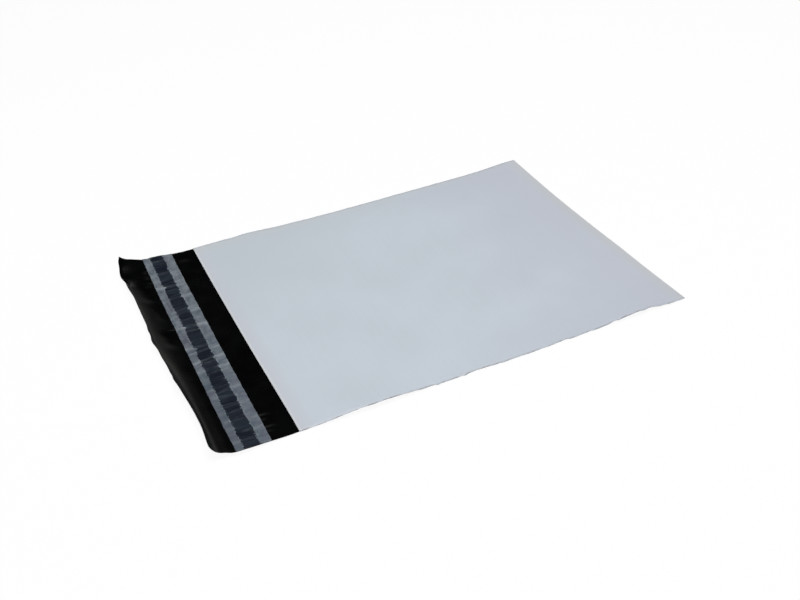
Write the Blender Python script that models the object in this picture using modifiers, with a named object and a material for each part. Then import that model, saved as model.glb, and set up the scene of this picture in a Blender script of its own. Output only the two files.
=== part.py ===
"""Poly mailer bag lying flat: one folded film pouch with a sealing flap, a glue line and its liner.

+X runs from the flap to the bottom fold, +Y across the bag and +Z up. Lengths are in metres.
A place on the bag is given by its distance along the web from the mouth (negative on the flap)
and its distance across from the centre line.
"""
import math

import bmesh
import bpy

# Pouch and flap
BAG_WIDTH = 0.250
POUCH_LENGTH = 0.300
FLAP_LENGTH = 0.062
FILM_THICKNESS = 0.00006
FOLD_CLEARANCE = 0.0004
PILLOW_HEIGHT = 0.0008
PILLOW_REACH = 0.035
SEAM_BEAD_RADIUS = 0.00038
SEAM_INSET = 0.0001

# Glue line and release liner on the flap, measured from the mouth
LINER_START = 0.018
LINER_WIDTH = 0.0238
LINER_THICKNESS = 0.00007
GLUE_MARGIN = 0.0079
GLUE_WIDTH = 0.0097
GLUE_THICKNESS = 0.0001
GLUE_END_INSET = 0.001
GLUE_RAGGEDNESS = 0.0008
GLUE_WAVES = (0.0295, 0.0195)
GLUE_MOUTH_PHASE = 0.6
GLUE_FLAP_PHASE = 2.9
LINER_BUCKLE_HEIGHT = 0.00012
LINER_BUCKLE_PITCH = 0.011
LINER_DRIFT_PITCH = 0.030
LINER_DRIFT = 1.5
SHOULDER_WIDTH = 0.0025
SEAT_GAP = 0.0003

# Curl of the flap past the liner, as the angle its free edge has turned up
NEAR_CURL = math.radians(75.0)
FAR_CURL = math.radians(37.0)
CURL_CHANGE_START = 0.115
CURL_CHANGE_LENGTH = 0.105
FAR_DIP_ANGLE = math.radians(31.0)
FAR_DIP_INSET = 0.017
FAR_DIP_HALF_WIDTH = 0.020
NEAR_DIP_ANGLE = math.radians(5.0)
NEAR_DIP_HALF_WIDTH = 0.016

# Lifted edges: (place along the edge, half length, height)
LIFT_REACH = 0.065
SEAM_LIFT = 0.0003
FAR_LIFTS_FROM_MOUTH = ((-0.075, 0.075, 0.0070), (0.010, 0.130, 0.0028), (0.048, 0.024, 0.0008))
NEAR_LIFTS_FROM_MOUTH = ((-0.045, 0.045, 0.0024), (0.052, 0.055, 0.0031))
FAR_LIFTS_FROM_FOLD = ((0.010, 0.045, 0.0016),)
NEAR_LIFTS_FROM_FOLD = ((0.038, 0.044, 0.0029),)
FOLD_LIFT_REACH = 0.050
FAR_FOLD_LIFT = 0.0020
FAR_FOLD_LIFT_LENGTH = 0.110
NEAR_FOLD_LIFT = 0.0010
NEAR_FOLD_LIFT_LENGTH = 0.080

# Mesh divisions
COLUMNS_ACROSS = 18
ROWS_CURL = 7
ROWS_FLAP = 4
ROWS_PANEL = 24
ROWS_FOLD = 4
LINER_COLUMNS = 6
LINER_ROWS = 46
GLUE_COLUMNS = 2
GLUE_ROWS = 64
BEAD_RESOLUTION = 1
CAP_WELD = 0.00001

HALF_WIDTH = BAG_WIDTH / 2
FOLD_RADIUS = FILM_THICKNESS + FOLD_CLEARANCE / 2
FOLD_CENTRE = POUCH_LENGTH - FOLD_RADIUS
CURL_START = LINER_START + LINER_WIDTH
CURL_LENGTH = FLAP_LENGTH - CURL_START
GLUE_START = LINER_START + GLUE_MARGIN
GLUE_CENTRE = GLUE_START + GLUE_WIDTH / 2


def clamp(value):
    return min(1.0, max(0.0, value))


def ramp(value, start, end):
    """Rise smoothly from 0 at start to 1 at end."""
    part = clamp((value - start) / (end - start))
    return part * part * (3.0 - 2.0 * part)


def swell(value, centre, half_width):
    """One smooth bump of height 1 that is 0 past half_width from its centre."""
    return math.cos(math.pi / 2 * min(1.0, abs(value - centre) / half_width)) ** 2


def edge_lift(place, lifts):
    return sum(height * swell(place, centre, half) for centre, half, height in lifts)


def lift(along, across):
    """Height of the back panel over the floor: 0 in the middle, more where an edge has risen."""
    inward = clamp((abs(across) - HALF_WIDTH + LIFT_REACH) / LIFT_REACH) ** 2
    from_fold = POUCH_LENGTH - along
    if across > 0:
        side = edge_lift(along, FAR_LIFTS_FROM_MOUTH) + edge_lift(from_fold, FAR_LIFTS_FROM_FOLD)
        corner = FAR_FOLD_LIFT * swell(across, HALF_WIDTH, FAR_FOLD_LIFT_LENGTH)
    else:
        side = edge_lift(along, NEAR_LIFTS_FROM_MOUTH) + edge_lift(from_fold, NEAR_LIFTS_FROM_FOLD)
        corner = NEAR_FOLD_LIFT * swell(across, -HALF_WIDTH, NEAR_FOLD_LIFT_LENGTH)
    towards_fold = clamp(1.0 - from_fold / FOLD_LIFT_REACH) ** 2
    return (SEAM_LIFT + side) * inward + corner * towards_fold


def curl_angle(across):
    """Angle of the flap's free edge, steep at the near corner and lower towards the far one."""
    towards_near = ramp(HALF_WIDTH - across, CURL_CHANGE_START, CURL_CHANGE_START + CURL_CHANGE_LENGTH)
    angle = FAR_CURL + (NEAR_CURL - FAR_CURL) * towards_near
    angle -= FAR_DIP_ANGLE * swell(across, HALF_WIDTH - FAR_DIP_INSET, FAR_DIP_HALF_WIDTH)
    angle -= NEAR_DIP_ANGLE * swell(across, -HALF_WIDTH, NEAR_DIP_HALF_WIDTH)
    return angle


def flap_point(along, across, height):
    """Point over the flap or the back panel, height being measured square to the film."""
    past = max(0.0, -CURL_START - along)
    bend = curl_angle(across) / CURL_LENGTH
    turned = bend * past
    x = along + past - math.sin(turned) / bend
    z = lift(along, across) + (1.0 - math.cos(turned)) / bend
    return x + height * math.sin(turned), across, z + height * math.cos(turned)


def front_point(along, across):
    """Point on the outer face of the front panel, which lies over the back panel."""
    pillow = PILLOW_HEIGHT * ramp(HALF_WIDTH - abs(across), 0.0, PILLOW_REACH)
    pillow *= ramp(POUCH_LENGTH - along, 0.0, PILLOW_REACH)
    return along, across, lift(along, across) + 2 * FOLD_RADIUS + pillow


def fold_point(angle, across):
    """Point on the outer face of the bottom fold, from the back panel round to the front."""
    x = FOLD_CENTRE + FOLD_RADIUS * math.sin(angle)
    return x, across, lift(FOLD_CENTRE, across) + FOLD_RADIUS * (1.0 - math.cos(angle))


def spaced(start, end, count):
    return [start + (end - start) * index / count for index in range(count + 1)]


def columns_across():
    """Places across the bag, closer together towards the two sides."""
    return [HALF_WIDTH * math.sin(angle) for angle in spaced(-math.pi / 2, math.pi / 2, COLUMNS_ACROSS)]


def web_rows():
    """The web's outer face as rows, from the flap's free edge round the fold to the mouth.

    The grid's faces look into the pouch, so the film's thickness is added there.
    """
    across = columns_across()
    flap = spaced(-FLAP_LENGTH, -CURL_START, ROWS_CURL) + spaced(-CURL_START, 0.0, ROWS_FLAP)[1:]
    panel = spaced(0.0, FOLD_CENTRE, ROWS_PANEL)
    rows = [[flap_point(along, place, 0.0) for place in across] for along in flap + panel[1:]]
    rows += [[fold_point(angle, place) for place in across] for angle in spaced(0.0, math.pi, ROWS_FOLD)[1:-1]]
    rows += [[front_point(along, place) for place in across] for along in reversed(panel)]
    return rows


def make_material(name, colour, roughness):
    material = bpy.data.materials.new(name)
    material.use_nodes = True
    shader = material.node_tree.nodes["Principled BSDF"]
    shader.inputs["Base Color"].default_value = (*colour, 1.0)
    shader.inputs["Roughness"].default_value = roughness
    shader.inputs["Metallic"].default_value = 0.0
    return material


def add_object(name, mesh, collection, material=None):
    piece = bpy.data.objects.new(name, mesh)
    if material:
        mesh.materials.append(material)
    collection.objects.link(piece)
    return piece


def sheet_mesh(name, rows):
    """A grid whose points are moved to the given rows of points."""
    row_count = len(rows) - 1
    column_count = len(rows[0]) - 1
    mesh = bpy.data.meshes.new(name)
    grid = bmesh.new()
    bmesh.ops.create_grid(grid, x_segments=row_count, y_segments=column_count, size=0.5)
    for point in grid.verts:
        row = round((point.co.x + 0.5) * row_count)
        column = round((point.co.y + 0.5) * column_count)
        point.co = rows[row][column]
    grid.to_mesh(mesh)
    grid.free()
    mesh.shade_smooth()
    return mesh


def add_thickness(piece, thickness):
    """Thicken a sheet to the side that its faces look to."""
    solidify = piece.modifiers.new("thickness", "SOLIDIFY")
    solidify.thickness = thickness
    solidify.offset = 1.0


def seam_bead(name, side, collection):
    """Rounded bead where the two panels were melted together and cut along one side."""
    curve = bpy.data.curves.new(name, "CURVE")
    curve.dimensions = "3D"
    curve.bevel_depth = SEAM_BEAD_RADIUS
    curve.bevel_resolution = BEAD_RESOLUTION
    curve.use_fill_caps = True
    across = side * (HALF_WIDTH - SEAM_INSET)
    places = spaced(0.0, POUCH_LENGTH, ROWS_PANEL)
    spline = curve.splines.new("POLY")
    spline.points.add(len(places) - 1)
    for point, along in zip(spline.points, places):
        point.co = (along, across, lift(along, across) + FOLD_RADIUS, 1.0)
    guide = bpy.data.objects.new(name + "_path", curve)
    collection.objects.link(guide)
    bpy.context.view_layer.update()
    evaluated = guide.evaluated_get(bpy.context.evaluated_depsgraph_get())
    mesh = bpy.data.meshes.new_from_object(evaluated)
    bpy.data.objects.remove(guide)
    closed = bmesh.new()
    closed.from_mesh(mesh)
    bmesh.ops.remove_doubles(closed, verts=closed.verts, dist=CAP_WELD)
    bmesh.ops.recalc_face_normals(closed, faces=closed.faces)
    closed.to_mesh(mesh)
    closed.free()
    bead = add_object(name, mesh, collection)
    bead.hide_render = True
    bead.display_type = "WIRE"
    return bead


def make_bag(collection, cutters):
    """The web folded once at the bottom, with both sides closed by their seams."""
    material = make_material("film", (0.54, 0.59, 0.65), 0.45)
    bag = add_object("film_bag", sheet_mesh("film_bag", web_rows()), collection, material)
    add_thickness(bag, FILM_THICKNESS)
    for name, side in (("far_seam", 1), ("near_seam", -1)):
        join = bag.modifiers.new(name, "BOOLEAN")
        join.operation = "UNION"
        join.solver = "EXACT"
        join.object = seam_bead(name, side, cutters)
    return bag


def glue_edge(across, phase):
    """Uneven edge of the glue, as a distance from its nominal line."""
    waves = [math.sin(2 * math.pi * across / length + phase * number)
             for number, length in enumerate(GLUE_WAVES, start=1)]
    return GLUE_RAGGEDNESS * sum(waves) / len(waves)


def make_glue(collection):
    """Hot-melt line across the flap, under the liner."""
    length = BAG_WIDTH - 2 * GLUE_END_INSET
    rows = []
    for across in spaced(-length / 2, length / 2, GLUE_ROWS):
        mouth_edge = -GLUE_START + glue_edge(across, GLUE_MOUTH_PHASE)
        flap_edge = -GLUE_START - GLUE_WIDTH + glue_edge(across, GLUE_FLAP_PHASE)
        rows.append([flap_point(along, across, SEAT_GAP)
                     for along in spaced(mouth_edge, flap_edge, GLUE_COLUMNS)])
    material = make_material("glue", (0.020, 0.024, 0.030), 0.35)
    glue = add_object("glue_line", sheet_mesh("glue_line", rows), collection, material)
    add_thickness(glue, GLUE_THICKNESS)
    return glue


def liner_height(along, across):
    """Height of the liner over the film: raised over the glue, with small buckles across it."""
    from_glue = abs(-along - GLUE_CENTRE) - GLUE_WIDTH / 2 - GLUE_RAGGEDNESS
    raised = 1.0 - ramp(from_glue, 0.0, SHOULDER_WIDTH)
    drift = LINER_DRIFT * math.sin(2 * math.pi * across / LINER_DRIFT_PITCH)
    buckle = LINER_BUCKLE_HEIGHT * (1.0 + math.sin(2 * math.pi * across / LINER_BUCKLE_PITCH + drift)) / 2
    return SEAT_GAP + raised * (GLUE_THICKNESS + SEAT_GAP) + buckle


def make_liner(collection):
    """Release liner over the glue, a ribbon as long as the bag is wide."""
    rows = []
    for across in spaced(-HALF_WIDTH, HALF_WIDTH, LINER_ROWS):
        rows.append([flap_point(along, across, liner_height(along, across))
                     for along in spaced(-LINER_START, -CURL_START, LINER_COLUMNS)])
    material = make_material("liner", (0.13, 0.14, 0.16), 0.40)
    liner = add_object("release_liner", sheet_mesh("release_liner", rows), collection, material)
    add_thickness(liner, LINER_THICKNESS)
    return liner


def stand_on_origin(pieces, cutters):
    """Carry everything on one empty, moved so that the origin is under the middle of the bag."""
    bpy.context.view_layer.update()
    graph = bpy.context.evaluated_depsgraph_get()
    corners = [corner for piece in pieces for corner in piece.evaluated_get(graph).bound_box]
    low = [min(corner[axis] for corner in corners) for axis in range(3)]
    high = [max(corner[axis] for corner in corners) for axis in range(3)]
    place = bpy.data.objects.new("bag_place", None)
    pieces[0].users_collection[0].objects.link(place)
    place.location = (-(low[0] + high[0]) / 2, -(low[1] + high[1]) / 2, -low[2])
    for piece in pieces + cutters:
        piece.parent = place


def main():
    for old in list(bpy.data.objects):
        bpy.data.objects.remove(old)
    collection = bpy.data.collections.new("poly_mailer_bag")
    cutters = bpy.data.collections.new("cutters")
    bpy.context.scene.collection.children.link(collection)
    bpy.context.scene.collection.children.link(cutters)
    pieces = [make_bag(collection, cutters), make_glue(collection), make_liner(collection)]
    stand_on_origin(pieces, list(cutters.objects))


main()
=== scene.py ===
"""Looks of a flat poly mailer bag: film, seams, glue line, release liner, floor, light and camera."""

import math

import bpy
import numpy as np
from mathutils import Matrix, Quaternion, Vector


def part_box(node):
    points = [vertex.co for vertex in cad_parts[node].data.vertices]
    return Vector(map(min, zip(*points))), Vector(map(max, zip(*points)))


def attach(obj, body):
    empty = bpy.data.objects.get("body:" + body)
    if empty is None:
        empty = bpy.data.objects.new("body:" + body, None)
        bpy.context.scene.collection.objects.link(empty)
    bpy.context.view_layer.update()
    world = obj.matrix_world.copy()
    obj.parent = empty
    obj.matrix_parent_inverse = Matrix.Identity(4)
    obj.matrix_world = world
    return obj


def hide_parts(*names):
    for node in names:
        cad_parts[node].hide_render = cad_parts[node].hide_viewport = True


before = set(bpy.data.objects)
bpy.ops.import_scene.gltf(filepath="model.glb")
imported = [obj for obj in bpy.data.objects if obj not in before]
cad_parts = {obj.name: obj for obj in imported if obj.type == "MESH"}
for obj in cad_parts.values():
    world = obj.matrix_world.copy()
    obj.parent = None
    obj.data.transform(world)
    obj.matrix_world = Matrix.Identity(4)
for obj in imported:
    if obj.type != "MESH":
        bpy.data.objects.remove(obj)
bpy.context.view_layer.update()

# Body that the pieces ride on, and places from the frame in metres
BODY = "root"
LINER_LOW, LINER_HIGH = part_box("release_liner")
HALF_WIDTH = LINER_HIGH.y
BOTTOM_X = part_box("film_bag")[1].x

# Bag, in metres; places along the bag are measured from the mouth and are negative on the flap
POUCH_LENGTH = 0.300
MOUTH_X = BOTTOM_X - POUCH_LENGTH
FLAP_LENGTH = 0.062
FILM_THICKNESS = 0.00006
FOLD_INNER_RADIUS = 0.0002
FOLD_RADIUS = FILM_THICKNESS + FOLD_INNER_RADIUS
FOLD_CENTRE = POUCH_LENGTH - FOLD_RADIUS

# The front panel rises a little from its sides and its fold to its middle
PILLOW_HEIGHT = 0.0008
PILLOW_REACH = 0.035

# Bead of the side seams, with a tapered end at the mouth, the number of sides of its cross-section
# and its width on the unfolded web
SEAM_RADIUS = 0.00036
SEAM_INSET = 0.0001
SEAM_UNEVENNESS = 0.18
SEAM_TIP_START = -0.0008
SEAM_TIP_END = 0.0006
SEAM_SIDES = 10
SEAM_WEB_WIDTH = 0.001

# Glue line and release liner
LINER_START = MOUTH_X - LINER_HIGH.x
LINER_WIDTH = LINER_HIGH.x - LINER_LOW.x
LINER_THICKNESS = 0.00007
GLUE_SETBACK = 0.0079
GLUE_START = LINER_START + GLUE_SETBACK
GLUE_WIDTH = 0.0097
GLUE_CENTRE = GLUE_START + GLUE_WIDTH / 2
GLUE_THICKNESS = 0.0001
GLUE_END_INSET = 0.001
SEAT_GAP = 0.0003
SHOULDER_WIDTH = 0.0025

# Curl of the flap past the liner, as the angle that its free edge has turned up. At the near side
# the film turns up by the base angle first and goes on from the start of the rise.
CURL_START = LINER_START + LINER_WIDTH
CURL_LENGTH = FLAP_LENGTH - CURL_START
NEAR_CURL = math.radians(75.0)
NEAR_CURL_EXTRA = math.radians(18.0)
FAR_CURL = math.radians(37.0)
CURL_BASE = math.radians(20.0)
CURL_BASE_START = 0.001
CURL_BASE_END = 0.006
CURL_RISE_START = 0.009
CURL_STEPS = 24

# Change of the curl from the far side to the near one, and the flatter stretches at both corners
CURL_CHANGE_START = 0.115
CURL_CHANGE_LENGTH = 0.105
FAR_DIP_ANGLE = math.radians(31.0)
FAR_DIP_INSET = 0.017
FAR_DIP_HALF_WIDTH = 0.020
NEAR_DIP_ANGLE = math.radians(16.0)
NEAR_DIP_HALF_WIDTH = 0.028

# Lifted edges: (place along the edge, half length, height)
LIFT_REACH = 0.065
FAR_TIP_LIFT = 0.0024
FAR_TIP_LENGTH = 0.011
FAR_TIP_OVERHANG = 0.002
SEAM_LIFT = 0.0003
FAR_LIFTS_FROM_MOUTH = (
    (-0.075, 0.075, 0.0070),
    (-0.050, 0.011, 0.0009),
    (-0.038, 0.009, -0.0005),
    (0.010, 0.130, 0.0028),
    (0.048, 0.024, 0.0008),
)
NEAR_LIFTS_FROM_MOUTH = ((-0.045, 0.045, 0.0024), (0.052, 0.055, 0.0031))
FAR_LIFTS_FROM_FOLD = ((0.010, 0.045, 0.0007), (0.000, 0.012, 0.0008))
NEAR_LIFTS_FROM_FOLD = ((0.041, 0.036, 0.0029),)
FOLD_LIFT_REACH = 0.050
FAR_FOLD_LIFT = 0.0020
FAR_FOLD_LIFT_LENGTH = 0.110
NEAR_FOLD_LIFT = 0.0006
NEAR_FOLD_LIFT_LENGTH = 0.080

# The bottom fold lies a hair further out than its straight line, with one bulge:
# (across, half width, reach)
FOLD_STRETCH_START = 0.270
FOLD_STRETCH = 0.0004
FOLD_BULGE = (-0.045, 0.040, 0.0004)

# Small kinks of the flap's free edge: (across, half width, reach outwards)
EDGE_KINKS = (
    (0.125, 0.006, -0.0018),
    (0.108, 0.012, 0.0013),
    (0.088, 0.018, 0.0024),
    (0.050, 0.050, 0.0004),
    (0.023, 0.011, 0.0011),
    (0.009, 0.012, 0.0022),
    (-0.022, 0.012, -0.0006),
    (-0.045, 0.008, 0.0016),
    (-0.116, 0.010, 0.0003),
)

# Thin lip along the far half of the free edge. It fades out around the middle of the bag and rises
# on a little where a kink reaches past the straight edge.
LIP_LENGTH = 0.0016
LIP_HEIGHT = 0.0004
LIP_OVERRUN = 1.2
LIP_FADE = 0.020

# Near corner of the flap, rounded by drawing its tip in
CORNER_CUT = 0.0040
CORNER_RADIUS = 0.012

# Where the film past the liner still lies flat before it curls:
# (across, half width, centre past the liner, half length, depth)
PRESSED_LOBES = (
    (0.081, 0.016, 0.008, 0.010, 0.0008),
    (0.050, 0.013, 0.004, 0.007, 0.0005),
    (0.014, 0.014, 0.007, 0.009, 0.0007),
)

# Softness of the sides of these flat places, and the least height that the film keeps in them
LOBE_EDGE = 0.011
PRESSED_GAP = 0.00002

# Puckers of the black film: (along, across, half length, half width, height) in millimetres
FLAP_PUCKERS = (
    (-17.5, -98.8, 10.0, 5.0, 0.92),
    (-17.0, -111.6, 10.0, 4.6, 0.82),
    (-18.5, -70.0, 8.0, 3.0, 0.28),
    (-18.0, -41.0, 8.0, 3.0, 0.24),
    (-12.0, 107.0, 11.0, 9.0, 0.95),
    (-43.5, 107.0, 7.0, 2.4, 0.72),
    (-44.0, 100.5, 7.5, 2.5, 0.76),
    (-45.0, 91.0, 9.0, 3.6, 0.70),
    (-43.5, 24.0, 7.5, 2.9, 0.66),
)

# Creases of the front panel: (start, end, half width, height) in millimetres, start and end being
# places along and across
FRONT_CREASES = (
    ((165.0, 35.0), (194.0, 22.0), 6.0, 0.20),
    ((123.0, 96.0), (133.0, 72.0), 6.0, 0.16),
    ((160.0, -23.0), (184.0, -30.0), 5.0, 0.18),
    ((69.0, 27.0), (97.0, 18.0), 5.0, 0.18),
    ((125.0, 21.0), (154.0, 21.0), 6.0, 0.20),
)

# How gently a crease fades at its ends, and the panel's waves, which like the creases die out at the
# sides and at the fold
CREASE_FADE = 0.75
FRONT_WAVE_HEIGHT = 0.00010
FRONT_CALM_SIDE = 0.006
FRONT_CALM_FOLD = 0.010

# Cut edges: how far they lie inside the straight line, with a random wander, and how far inwards the
# film follows their steps
EDGE_INSET = 0.00040
EDGE_WANDER = 0.00012
EDGE_WAVE_OFFSET = 0.4
EDGE_ZONE = 0.006

# Nicks of the near edge, where a negative one stands out: (place from the mouth, half width, depth)
NEAR_NICKS = (
    (-0.050, 0.010, 0.0016),
    (0.000, 0.040, 0.0012),
    (0.0990, 0.0022, -0.0011),
    (0.1195, 0.0020, -0.0010),
    (0.098, 0.045, 0.0005),
    (0.130, 0.022, 0.0011),
    (0.215, 0.040, 0.0002),
    (0.2700, 0.0070, 0.0007),
    (0.2840, 0.0080, -0.0002),
)

# Slanting steps of the near edge, which end at once: (place of the end, length, depth)
NEAR_STEPS = (
    (0.2010, 0.013, 0.0009),
    (0.2200, 0.012, 0.0009),
    (0.2410, 0.016, 0.0010),
    (0.2620, 0.010, 0.0009),
    (0.2745, 0.008, 0.0006),
    (0.2840, 0.006, 0.0005),
)
STEP_END = 0.0016

# Slanting cut of the far edge at the bottom fold
FAR_CORNER_CUT = 0.0021
FAR_CORNER_LENGTH = 0.011

# Random teeth of both edges, each one dropping back at its end
NEAR_TOOTH_DEPTH = 0.0006
FAR_TOOTH_DEPTH = 0.0002
FIRST_TOOTH = 0.003
TOOTH_LENGTHS = (0.006, 0.022)
TOOTH_DROP = 0.86
NEAR_TOOTH_SEED = 31
FAR_TOOTH_SEED = 32

# Rows and columns of the film's mesh, the columns closer together towards the sides
FLAP_COLUMNS = 216
FLAP_COLUMNS_PER_COARSE = 3
EVEN_SHARE = 0.7
CROWDED_SHARE = 0.3
CURL_ROWS = 30
FLAT_ROWS = 40
FRONT_ROWS = 220
BACK_ROWS = 150
FOLD_ROWS = 7

# How much narrower the back panel is than the front one, so that the seam covers its edge
BACK_INSET = 0.00015

# How far past its straight line the front panel's mouth edge lies, at the near side and from the
# end of the change to the far side, and how far along the panel that reaches
MOUTH_NEAR = 0.0004
MOUTH_FAR = -0.00036
MOUTH_SHIFT_END = -0.015
MOUTH_SHIFT_LENGTH = 0.030

# Wrinkles of the liner: place and half width in millimetres, skew, then strengths on the
# flap side, over the glue and on the mouth side
MAIN_WRINKLES = (
    (117.5, 1.2, 0.05, 0.3, 0.8, 0.2),
    (101.0, 1.6, -0.05, 0.9, 0.7, 0.3),
    (95.0, 1.0, 0.05, 0.1, 0.2, 0.7),
    (86.5, 1.2, 0.10, 0.3, 0.2, 0.9),
    (82.0, 1.8, -0.12, 1.2, 0.8, 0.5),
    (76.5, 1.3, 0.05, 0.3, 0.5, 0.2),
    (65.0, 1.3, 0.10, 0.9, 0.1, 1.2),
    (47.5, 1.5, 0.15, 0.3, 0.6, 0.3),
    (43.0, 2.0, 0.05, 0.4, 0.1, 0.9),
    (33.0, 1.3, -0.05, 0.9, 0.7, 0.2),
    (23.5, 1.5, -0.10, 1.3, 0.5, 1.2),
    (17.5, 1.1, -0.15, 0.2, 0.9, 0.2),
    (-5.0, 1.6, -0.18, 1.3, 0.6, 0.3),
    (-9.5, 1.1, 0.05, 0.2, 0.8, 0.9),
    (-21.0, 1.4, 0.12, 0.8, 0.6, 1.3),
    (-25.0, 1.1, 0.05, 0.2, 0.9, 0.3),
    (-33.0, 2.0, 0.05, 0.8, 0.4, 1.4),
    (-38.0, 1.1, 0.05, 0.2, 0.8, 0.3),
    (-55.0, 1.1, 0.05, 0.2, 0.7, 0.3),
    (-60.5, 1.2, 0.10, 0.3, 0.2, 0.7),
    (-67.0, 1.5, -0.25, 0.3, 0.9, 0.2),
    (-78.0, 1.4, 0.05, 0.3, 0.3, 0.5),
    (-91.0, 1.2, 0.15, 0.1, 0.6, 0.5),
    (-107.0, 1.2, 0.10, 0.1, 0.5, 0.4),
    (-115.0, 1.3, 0.05, 0.2, 0.4, 0.3),
)
WRINKLE_HEIGHT = 0.00022

# Random wrinkles between them: spacing, half width, spread of the skew, and strength, of which many
# are faint; at the near end the two margins of the liner are calm
WRINKLE_SEED = 23
WRINKLE_SPACING = (0.0025, 0.0085)
WRINKLE_HALF_WIDTHS = (0.0007, 0.0020)
WRINKLE_SKEW = 0.12
WRINKLE_STRENGTH = 0.55
WRINKLE_SHARES = (0.25, 1.0)
CALM_START = -0.035
CALM_SHARE = 0.25

# Small waves and ripples of the liner, drawn out along the bag, and the wander of its edges, of
# which the one at the mouth side is trimmed a hair
LINER_WAVE_HEIGHT = 0.00007
LINER_WAVE_STRETCH = 0.45
LINER_RIPPLE_HEIGHT = 0.00002
LINER_RIPPLE_STRETCH = 0.3
LINER_EDGE_WANDER = 0.00013
LINER_EDGE_ZONE = 0.004
LINER_TRIM = 0.00025

# Places across and along in the meshes of the liner and the glue line
LINER_COLUMNS = 701
LINER_ROWS = 59
GLUE_COLUMNS = 251
GLUE_ROWS = 13

# Notches in the stuck area, in millimetres:
# (place, half width, depth from the flap side, depth from the mouth side)
WET_NOTCHES = (
    (102.0, 1.6, 0.9, 0.0),
    (106.0, 2.5, 0.0, 0.7),
    (82.0, 2.2, 1.6, 0.4),
    (65.0, 1.5, 0.2, 0.6),
    (46.0, 2.5, 0.6, 0.5),
    (23.0, 1.8, 1.5, 0.3),
    (-6.0, 2.4, 2.0, 0.2),
    (-10.0, 3.0, 0.8, 0.5),
    (-21.5, 2.0, 0.2, 1.3),
    (-33.0, 2.0, 0.4, 0.5),
)

# How far the stuck area spreads past the glue, more so at the near end of the flap side
WET_SPREAD_FLAP = 0.0005
WET_SPREAD_NEAR = 0.0005
WET_SPREAD_START = -0.030
WET_SPREAD_END = 0.100
WET_SPREAD_MOUTH = 0.0002

# Jagged outline of the stuck area, and how much wider than a wrinkle its pale glint is
BLOCK_STEP = 0.00050
BLOCK_STOPS = 56
BLOCK_END_SHARE = 0.6
FLAP_BLOCK_SEED = 5
MOUTH_BLOCK_SEED = 6
RAISED_SPREAD = 2.0

# Colours
OUTSIDE_DARK = (0.530, 0.580, 0.636)
OUTSIDE_LIGHT = (0.558, 0.612, 0.674)
OUTSIDE_LILAC = (0.523, 0.554, 0.629)
# Painted shade: the darker tone that the front panel takes towards the mouth and its far side
OUTSIDE_PAINTED_SHADE = (0.520, 0.570, 0.617)
OUTSIDE_RIM = (0.57, 0.56, 0.47)
OUTSIDE_RIM_SHARE = 0.3
MOUTH_FILM = (0.542, 0.570, 0.620)
# Painted highlight along the mouth's cut edge
MOUTH_HIGHLIGHT = (0.635, 0.655, 0.68)
SEAM_COLOUR = (0.46, 0.48, 0.54)
SEAM_DARK = (0.31, 0.31, 0.345)
SEAM_LIGHT = (0.56, 0.60, 0.66)
INSIDE_DARK = (0.0003, 0.0004, 0.0006)
INSIDE_LIGHT = (0.0009, 0.0011, 0.0012)
LINER_DEEP = (0.050, 0.064, 0.084)
LINER_BLUE = (0.086, 0.112, 0.138)
LINER_LILAC = (0.107, 0.112, 0.145)
LINER_PALE = (0.160, 0.182, 0.204)
LINER_WHITE = (0.215, 0.242, 0.264)
LINER_SPECK = (0.32, 0.35, 0.38)
WET_DARK = (0.0045, 0.0075, 0.0155)
WET_LIGHT = (0.0125, 0.0185, 0.028)
WET_LIFTED = (0.045, 0.055, 0.068)
EDGE_DARK = (0.42, 0.45, 0.48)
EDGE_LIGHT = (0.60, 0.64, 0.68)
GLUE_DARK = (0.010, 0.012, 0.016)
GLUE_LIGHT = (0.030, 0.034, 0.042)

# Where the colour of the outside and the seams changes, in millimetres: places across, and distances
# round the web, from the line under the mouth at 0 past the bottom fold at 300 to the mouth at 600
# Painted shade of the front panel, darker towards the mouth and the far side: distances, places across and
# shares
PAINTED_SHADE_DISTANCE = (450.0, 580.0)
PAINTED_SHADE_ACROSS = (-10.0, 90.0)
PAINTED_SHADE_SHARES = (0.05, 0.9)
LILAC_FROM_FOLD = (230.0, 90.0)
LILAC_UNEVENNESS = 200.0
MOUTH_FILM_DISTANCE = (586.0, 598.0)
MOUTH_FILM_SHARE = 0.9
# Painted highlight: the thin pale line along the mouth's edge
MOUTH_HIGHLIGHT_BAND = (598.7, 599.5)
FOLD_RIM = (14.0, 1.0)
SIDE_RIM = (111.0, 124.0)
SIDE_RIM_SHARE = 0.5
NEAR_BACK_DISTANCE = (480.0, 430.0)
NEAR_BACK_ACROSS = (-70.0, -122.0)
NEAR_BACK_SHARE = 0.22
SEALED_ACROSS = (124.6, 125.8)
SEALED_UNEVENNESS = 1.6
SEALED_SHARE = 0.35
SEAM_PALING = (-100.0, 100.0)
SEAM_PALE_SHARE = 0.75

# The same for the liner: places across, the line between its flap side and its mouth side, and how
# ragged and how blurred the outline of the stuck area is, with pale specks along it
LINER_PALING = (-60.0, 130.0)
LINER_PALE_SHARE = 0.60
LINER_STREAKING = (-60.0, 40.0)
LINER_STREAK_SHARES = (0.06, 0.42)
LINER_DEEPENING = (130.0, -110.0)
LINER_DEEP_SHARES = (0.08, 0.34)
FLAP_SIDE_START = -1000 * GLUE_CENTRE + 2.0
FLAP_SIDE_END = -1000 * GLUE_CENTRE - 2.0
WET_RAGGEDNESS = 2.6
WET_BLUR = (-0.14, 0.20)
SPECK_REACH = (1.3, 0.2)
SPECK_SHARE = 0.55

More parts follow.
